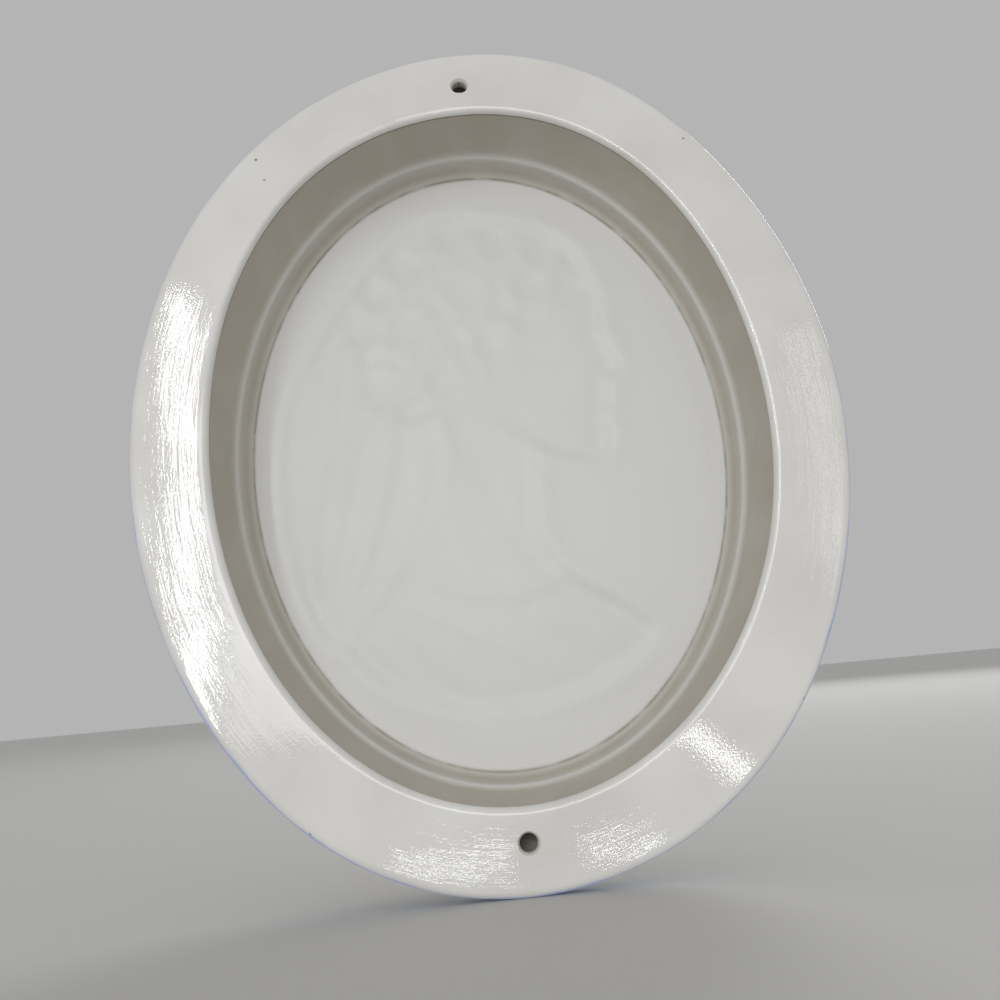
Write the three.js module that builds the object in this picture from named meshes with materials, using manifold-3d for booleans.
// Oval wall plaque, slip-cast in white earthenware and glazed: a flat back rim with two nail holes, the
// hollow behind it, a deep well, a moulded front frame and a relief of a veiled head in profile.
// Millimetres, +Z up as hung. The flat back rim is the plane y = 0 and the relief faces -Y.
// The origin is on the back rim, on the upright axis, just above the top nail hole.

import * as THREE from "three";
import { mergeVertices } from "three/addons/utils/BufferGeometryUtils.js";
import Module from "manifold-3d";

const wasm = await Module();
wasm.setup();

// ---------------------------------------------------------------- driving dimensions

const HEIGHT = 350;
const WIDTH = 283.6;
const HALF_HEIGHT = HEIGHT / 2;
const HALF_WIDTH = WIDTH / 2;
const MOUNT_DROP = 9;
const CENTRE_Z = MOUNT_DROP - HALF_HEIGHT;

const WALL = 4.3;
const ROUND_SEGMENTS = 56;
const HOLLOW_SEGMENTS = 28;

// Back: insets are measured in from the outer edge, depths forward from the flat rim.
const EDGE_ROUND = 2.6;
const EDGE_THICKNESS = 6.4;
const RIM_WIDTH = 27.3;
const LIP_INSET = 29.9;
const LIP_DROP = 2.4;
const LEDGE_INSET = 32.4;
const LEDGE_DEPTH = 26.8;
const COVE_INSET = 34.2;
const FIELD_INSET = 37.3;
const WELL_DEPTH = 37.6;

// Front mouldings, from the outer edge in to the field.
const FILLET_INSET = 5;
const FILLET_DEPTH = 8.8;
const CAVETTO_WIDTH = 12.5;
const CAVETTO_RISE = 15.7;
const TORUS_INSET = 20;
const TORUS_START = 26.2;
const TORUS_WIDTH = 11.5;
const CREST_DEPTH = 46;
const FRONT_DEPTH = WELL_DEPTH + WALL;
const FRONT_FIELD_INSET = 38.2;
const BEAD_INSET = 42;
const BEAD_RADIUS = 1.9;

// Nail holes, drilled through the back wall into the hollow rim.
const HOLE_OFFSET = 157.2;
const HOLE_RADIUS = 3.2;
const HOLE_MOUTH_RADIUS = 3.9;
const HOLE_MOUTH_DEPTH = 1.1;
const HOLE_SEGMENTS = 20;

// Hand finishing leaves the outer edge and the well's lip a little wavy: lobes round the oval, size, phase.
const EDGE_WAVES = [[3, 0.3, -19], [4, 0.54, 96], [5, 0.25, 148], [6, 0.3, -56]];
const LIP_WAVES = [[3, 0.58, 105], [4, 0.84, 144], [5, 0.38, -112]];
const LIP_WAVE_REACH = 6;

// Relief on the front field, seen from the front: x to the right, z up from the field's centre.
const HEAD_HEIGHT = 114;
const CHIN_LEVEL = -12;
const FACE_LINE = -60;
const RELIEF_ROUND = 5;
const RELIEF_STEP = 0.4;
const RELIEF_ROOT = 1.5;

// The thin slip wall repeats the relief inside the well as soft, shallow hollows.
const ECHO_SHARE = 0.24;
const ECHO_ROUND = 17;

// ---------------------------------------------------------------- helpers

const wave = (lobes, angle) =>
  lobes.reduce((sum, [count, size, phase]) => {
    return sum + size * Math.cos(count * angle - THREE.MathUtils.degToRad(phase));
  }, 0);

const quarter = (steps, at) => Array.from({ length: steps + 1 }, (_, i) => at((i / steps) * (Math.PI / 2)));

// Makes a geometry one closed solid: positions only, shared vertices joined, empty triangles dropped.
function solid(geometry) {
  geometry.deleteAttribute("normal");
  geometry.deleteAttribute("uv");
  const joined = mergeVertices(geometry, 1e-4);
  const corners = Array.from(joined.index.array);
  const triangles = [];
  for (let i = 0; i < corners.length; i += 3) {
    const triangle = corners.slice(i, i + 3);
    if (new Set(triangle).size === 3) {
      triangles.push(...triangle);
    }
  }
  const vertProperties = new Float32Array(joined.attributes.position.array);
  const triVerts = new Uint32Array(triangles);
  return new wasm.Manifold(new wasm.Mesh({ numProp: 3, vertProperties, triVerts }));
}

function geometryOf(shape) {
  const mesh = shape.getMesh();
  const geometry = new THREE.BufferGeometry();
  geometry.setAttribute("position", new THREE.BufferAttribute(new Float32Array(mesh.vertProperties), 3));
  geometry.setIndex(new THREE.BufferAttribute(new Uint32Array(mesh.triVerts), 1));
  geometry.computeVertexNormals();
  return geometry;
}

// ---------------------------------------------------------------- oval casting

// Turns [inset, depth] pairs, from the front's middle round the edge to the back's middle, into an oval.
// Rings outside the field keep their inset all the way round, and those inside it shrink evenly.
function oval(pairs, segments, wavy) {
  const points = pairs.map(([inset, depth]) => new THREE.Vector2(HALF_HEIGHT - inset, -depth));
  const geometry = new THREE.LatheGeometry(points, segments);
  const position = geometry.attributes.position;
  const fieldRadius = HALF_HEIGHT - FIELD_INSET;
  for (let i = 0; i < position.count; i += 1) {
    const y = position.getY(i);
    const radius = Math.hypot(position.getX(i), position.getZ(i));
    const angle = Math.atan2(position.getZ(i), position.getX(i));
    const inset = HALF_HEIGHT - Math.max(radius, fieldRadius);
    const shrink = Math.min(1, radius / fieldRadius);
    const push = wavy ? waviness(inset, -y, angle) : 0;
    const x = (HALF_WIDTH - inset + push) * shrink * Math.cos(angle);
    const z = (HALF_HEIGHT - inset + push) * shrink * Math.sin(angle);
    position.setXYZ(i, x, y, CENTRE_Z + z);
  }
  return solid(geometry);
}

// The edge's waves fade towards the lip, and the lip's own fade outwards and down the wall.
function waviness(inset, depth, angle) {
  const edgeShare = Math.max(0, 1 - inset / RIM_WIDTH);
  const across = Math.max(0, 1 - Math.abs(inset - LIP_INSET) / LIP_WAVE_REACH);
  const down = Math.max(0, 1 - depth / LEDGE_DEPTH);
  return wave(EDGE_WAVES, angle) * edgeShare + wave(LIP_WAVES, angle) * across * down;
}

function frontProfile() {
  const rise = CREST_DEPTH - TORUS_START;
  const bead = [0, 1, 2, 3].map((i) => {
    const t = (i / 3) * Math.PI;
    return [BEAD_INSET + BEAD_RADIUS * Math.cos(t), FRONT_DEPTH + BEAD_RADIUS * Math.sin(t)];
  });
  const torus = quarter(4, (t) => [
    TORUS_INSET + TORUS_WIDTH * (1 - Math.sin(t)),
    TORUS_START + rise * Math.cos(t),
  ]);
  const cavetto = quarter(3, (t) => [
    FILLET_INSET + CAVETTO_WIDTH * Math.cos(t),
    FILLET_DEPTH + CAVETTO_RISE * (1 - Math.sin(t)),
  ]);
  return [
    [HALF_HEIGHT, FRONT_DEPTH],
    ...bead,
    [FRONT_FIELD_INSET, FRONT_DEPTH],
    [FRONT_FIELD_INSET - 1.6, FRONT_DEPTH + 1.1],
    [TORUS_INSET + TORUS_WIDTH + 2.6, CREST_DEPTH - 0.7],
    ...torus,
    [TORUS_INSET - 1.2, TORUS_START - 1],
    ...cavetto,
    [1.2, FILLET_DEPTH - 0.6],
    [0, EDGE_THICKNESS],
  ];
}

function backProfile() {
  const edge = quarter(2, (t) => [EDGE_ROUND * (1 - Math.cos(t)), EDGE_ROUND * (1 - Math.sin(t))]);
  const lipWidth = LIP_INSET - RIM_WIDTH;
  const lip = quarter(3, (t) => [RIM_WIDTH + lipWidth * Math.sin(t), LIP_DROP * (1 - Math.cos(t))]);
  return [
    ...edge,
    ...lip,
    [LIP_INSET - 0.1, LIP_DROP + 3.4],
    [LIP_INSET + 0.4, LEDGE_DEPTH / 2],
    [LEDGE_INSET, LEDGE_DEPTH - 0.8],
    [LEDGE_INSET + 0.8, LEDGE_DEPTH + 0.3],
    [COVE_INSET, LEDGE_DEPTH + 1.6],
    [COVE_INSET + 0.6, WELL_DEPTH - 5.6],
    [FIELD_INSET - 1, WELL_DEPTH - 2],
    [FIELD_INSET + 0.8, WELL_DEPTH],
    [HALF_HEIGHT, WELL_DEPTH],
  ];
}

// The space left when the slip was poured out of the rim, one wall inside every face.
function hollowProfile() {
  return [
    [WALL + 1.5, WALL],
    [LIP_INSET - WALL - 1, WALL],
    [LIP_INSET - WALL, WALL + 2],
    [LEDGE_INSET - WALL, LEDGE_DEPTH],
    [FIELD_INSET - WALL - 1.6, WELL_DEPTH - 1],
    [TORUS_INSET + TORUS_WIDTH - 1, CREST_DEPTH - WALL],
    [TORUS_INSET + WALL + 1, TORUS_START + 8],
    [TORUS_INSET + 0.8, TORUS_START - WALL],
    [FILLET_INSET + CAVETTO_WIDTH - 2, FILLET_DEPTH + 4],
    [FILLET_INSET + WALL, WALL + 1.6],
    [WALL + 1.5, WALL],
  ];
}

function nailHole(side) {
  const reach = WALL + 1;
  const points = [
    [0, -reach],
    [HOLE_RADIUS, -reach],
    [HOLE_RADIUS, -HOLE_MOUTH_DEPTH],
    [HOLE_MOUTH_RADIUS, 0],
    [HOLE_MOUTH_RADIUS, 1],
    [0, 1],
  ].map(([radius, y]) => new THREE.Vector2(radius, y));
  const geometry = new THREE.LatheGeometry(points, HOLE_SEGMENTS);
  geometry.translate(0, 0, CENTRE_Z + side * HOLE_OFFSET);
  return solid(geometry);
}

// ---------------------------------------------------------------- relief

// Outlines and carving are shares of the head's height: u back from the face line, v up from the chin.
const HEAD_OUTLINE = [
  [0.12, 0.012], [0.065, 0.045], [0.045, 0.12], [0.058, 0.19], [0.03, 0.245], [0.043, 0.278],
  [0.02, 0.308], [0.038, 0.345], [-0.008, 0.362], [-0.026, 0.398], [0.012, 0.49], [0.036, 0.57],
  [0.022, 0.65], [0.035, 0.77], [0.13, 0.92], [0.36, 1], [0.62, 0.97], [0.86, 0.82], [0.94, 0.58],
  [0.86, 0.36], [0.7, 0.24], [0.52, 0.2], [0.42, 0.13], [0.3, 0.06], [0.2, 0.025],
];
const HAIR_OUTLINE = [
  [0.07, 0.8], [0.12, 0.96], [0.3, 1.07], [0.55, 1.11], [0.8, 1.02], [0.98, 0.8], [1.03, 0.52], [0.98, 0.3],
  [0.82, 0.22], [0.66, 0.28], [0.54, 0.4], [0.4, 0.52], [0.24, 0.66],
];
const VEIL_OUTLINE = [
  [0.5, 1.12], [0.76, 1.1], [0.95, 0.92], [1.12, 0.68], [1.27, 0.42], [1.33, 0.1], [1.32, -0.2],
  [1.26, -0.46], [1.14, -0.62], [0.98, -0.46], [0.82, -0.24], [0.7, 0.04], [0.74, 0.45], [0.62, 0.84],
];
const BUST_OUTLINE = [
  [0.7, 0.26], [0.7, 0.06], [0.77, -0.08], [0.85, -0.24], [1, -0.44], [1.12, -0.58], [1.02, -0.74],
  [0.78, -0.86], [0.5, -0.89], [0.2, -0.82], [-0.02, -0.68], [0.06, -0.56], [0.26, -0.42], [0.36, -0.26],
  [0.36, -0.06], [0.37, 0.2],
];

// Curls piled over the hair: centre and radius.
const CURLS = [
  [0.15, 0.76, 0.075], [0.24, 0.93, 0.075], [0.31, 0.79, 0.085], [0.33, 0.63, 0.07], [0.42, 0.99, 0.085],
  [0.57, 0.78, 0.095], [0.62, 1.03, 0.085], [0.49, 0.53, 0.075], [0.8, 0.9, 0.09], [0.83, 0.63, 0.105],
  [0.69, 0.4, 0.085], [0.99, 0.64, 0.08], [0.94, 0.37, 0.09], [0.82, 0.28, 0.07], [0.43, 0.7, 0.06],
  [0.93, 0.79, 0.07], [0.62, 0.57, 0.06], [0.7, 0.72, 0.055],
];
const DOME_ROOT = 4.4;
const CURL_RISE = 4.2;
const EAR = { at: [0.45, 0.405], size: [0.04, 0.07], rise: 3 };

const bump = (u, v, centre, size) => {
  const across = (u - centre[0]) / size[0];
  const along = (v - centre[1]) / size[1];
  return Math.exp(-(across ** 2) - along ** 2);
};

function faceHeight(u, v) {
  const cheek = 1.5 * bump(u, v, [0.32, 0.3], [0.2, 0.2]);
  const socket = 1.6 * bump(u, v, [0.15, 0.53], [0.07, 0.05]);
  const eye = 0.9 * bump(u, v, [0.15, 0.52], [0.035, 0.02]);
  const mouth = 0.7 * bump(u, v, [0.1, 0.265], [0.06, 0.015]);
  const jaw = 0.7 * bump(u, v, [0.16, 0.08], [0.12, 0.06]);
  return 5.2 + cheek - socket + eye - mouth + jaw;
}

function hairHeight(u, v) {
  return 6.4 + 0.8 * bump(u, v, [0.58, 0.66], [0.3, 0.3]);
}

function veilHeight(u, v) {
  return 4.6 + 0.9 * Math.cos(34 * (u + 0.12 * v));
}

function bustHeight(u, v) {
  const neck = 1.2 * bump(u, v, [0.55, -0.1], [0.16, 0.36]);
  const cloth = v < -0.45 ? 1 - Math.exp(-((v + 0.45) ** 2) / 0.02) : 0;
  return 3.6 + neck + cloth * (1.4 + 0.8 * Math.cos(22 * (u * 0.45 - v)));
}

const FIGURE = [
  { outline: VEIL_OUTLINE, centre: [1, 0.3], heightAt: veilHeight },
  { outline: BUST_OUTLINE, centre: [0.6, -0.6], heightAt: bustHeight },
  { outline: HEAD_OUTLINE, centre: [0.5, 0.5], heightAt: faceHeight },
  { outline: HAIR_OUTLINE, centre: [0.72, 0.62], heightAt: hairHeight },
];

// A low cushion over a closed outline: rings of the outline shrink to its centre, the edge is rounded over
// `round` above a small upright step, and the sides run on down to a flat root inside the slab.
function cushion({ outline, centre, heightAt }, { rings, detail, round, face, root, share }) {
  const toField = ([u, v]) => {
    return new THREE.Vector3(FACE_LINE + u * HEAD_HEIGHT, 0, CHIN_LEVEL + v * HEAD_HEIGHT);
  };
  const middle = toField(centre);
  const steps = outline.length * detail;
  const curve = new THREE.CatmullRomCurve3(outline.map(toField), true, "catmullrom", 0.5);
  const edge = curve.getPoints(steps).slice(0, steps);
  const positions = [];
  const addPoint = (point, depth) => positions.push(point.x, -depth, CENTRE_Z + point.z);
  const surface = (point, reach, span) => {
    const inside = Math.min(1, ((1 - reach) * span) / round);
    const height = heightAt((point.x - FACE_LINE) / HEAD_HEIGHT, (point.z - CHIN_LEVEL) / HEAD_HEIGHT);
    return face + share * (RELIEF_STEP + height * Math.sqrt(1 - (1 - inside) ** 2));
  };
  addPoint(middle, surface(middle, 0, round));
  for (let ring = 1; ring <= rings; ring += 1) {
    const reach = 1 - (1 - ring / rings) ** 1.5;
    for (const end of edge) {
      const point = middle.clone().lerp(end, reach);
      addPoint(point, surface(point, reach, middle.distanceTo(end)));
    }
  }
  edge.forEach((end) => addPoint(end, root));
  addPoint(middle, root);
  const at = (ring, step) => 1 + (ring - 1) * steps + (step % steps);
  const index = [];
  for (let step = 0; step < steps; step += 1) {
    index.push(0, at(1, step + 1), at(1, step));
    for (let ring = 1; ring <= rings; ring += 1) {
      index.push(at(ring, step), at(ring + 1, step + 1), at(ring + 1, step));
      index.push(at(ring, step), at(ring, step + 1), at(ring + 1, step + 1));
    }
    index.push(at(rings + 1, step), at(rings + 1, step + 1), at(rings + 2, 0));
  }
  const geometry = new THREE.BufferGeometry();
  geometry.setAttribute("position", new THREE.BufferAttribute(new Float32Array(positions), 3));
  geometry.setIndex(index);
  return solid(geometry);
}

// A low dome half sunk in the form under it: centre and size as shares, rise in millimetres.
function dome([u, v], [across, upright], rise, { face, share, domeSides }) {
  const geometry = new THREE.SphereGeometry(1, domeSides, Math.ceil(domeSides * 0.6));
  geometry.scale(across * HEAD_HEIGHT, rise * share, upright * HEAD_HEIGHT);
  const x = FACE_LINE + u * HEAD_HEIGHT;
  const z = CHIN_LEVEL + v * HEAD_HEIGHT;
  geometry.translate(x, -(face + DOME_ROOT * share), CENTRE_Z + z);
  return solid(geometry);
}

function joinFigure(settings) {
  const forms = FIGURE.map((form) => cushion(form, settings));
  const curls = CURLS.map(([u, v, size]) => dome([u, v], [size, size], CURL_RISE, settings));
  const ear = dome(EAR.at, EAR.size, EAR.rise, settings);
  return [...forms, ...curls, ear].reduce((all, form) => all.add(form));
}

const relief = () =>
  joinFigure({
    rings: 5,
    detail: 3,
    round: RELIEF_ROUND,
    face: FRONT_DEPTH,
    root: FRONT_DEPTH - RELIEF_ROOT,
    share: 1,
    domeSides: 7,
  });

const echo = () =>
  joinFigure({
    rings: 3,
    detail: 1,
    round: ECHO_ROUND,
    face: WELL_DEPTH,
    root: WELL_DEPTH - RELIEF_ROOT,
    share: ECHO_SHARE,
    domeSides: 6,
  });

// ---------------------------------------------------------------- the plaque

function castPlaque() {
  const outside = oval([...frontProfile(), ...backProfile()], ROUND_SEGMENTS, true);
  const hollow = oval(hollowProfile(), HOLLOW_SEGMENTS, false);
  return outside
    .add(relief())
    .subtract(echo())
    .subtract(hollow)
    .subtract(nailHole(1))
    .subtract(nailHole(-1));
}

const glazedWhite = new THREE.MeshStandardMaterial({ color: 0xd3d2cf, roughness: 0.22, metalness: 0 });

const plaque = new THREE.Mesh(geometryOf(castPlaque()), glazedWhite);
plaque.name = "plaque";

const group = new THREE.Group();
group.add(plaque);

export default group;
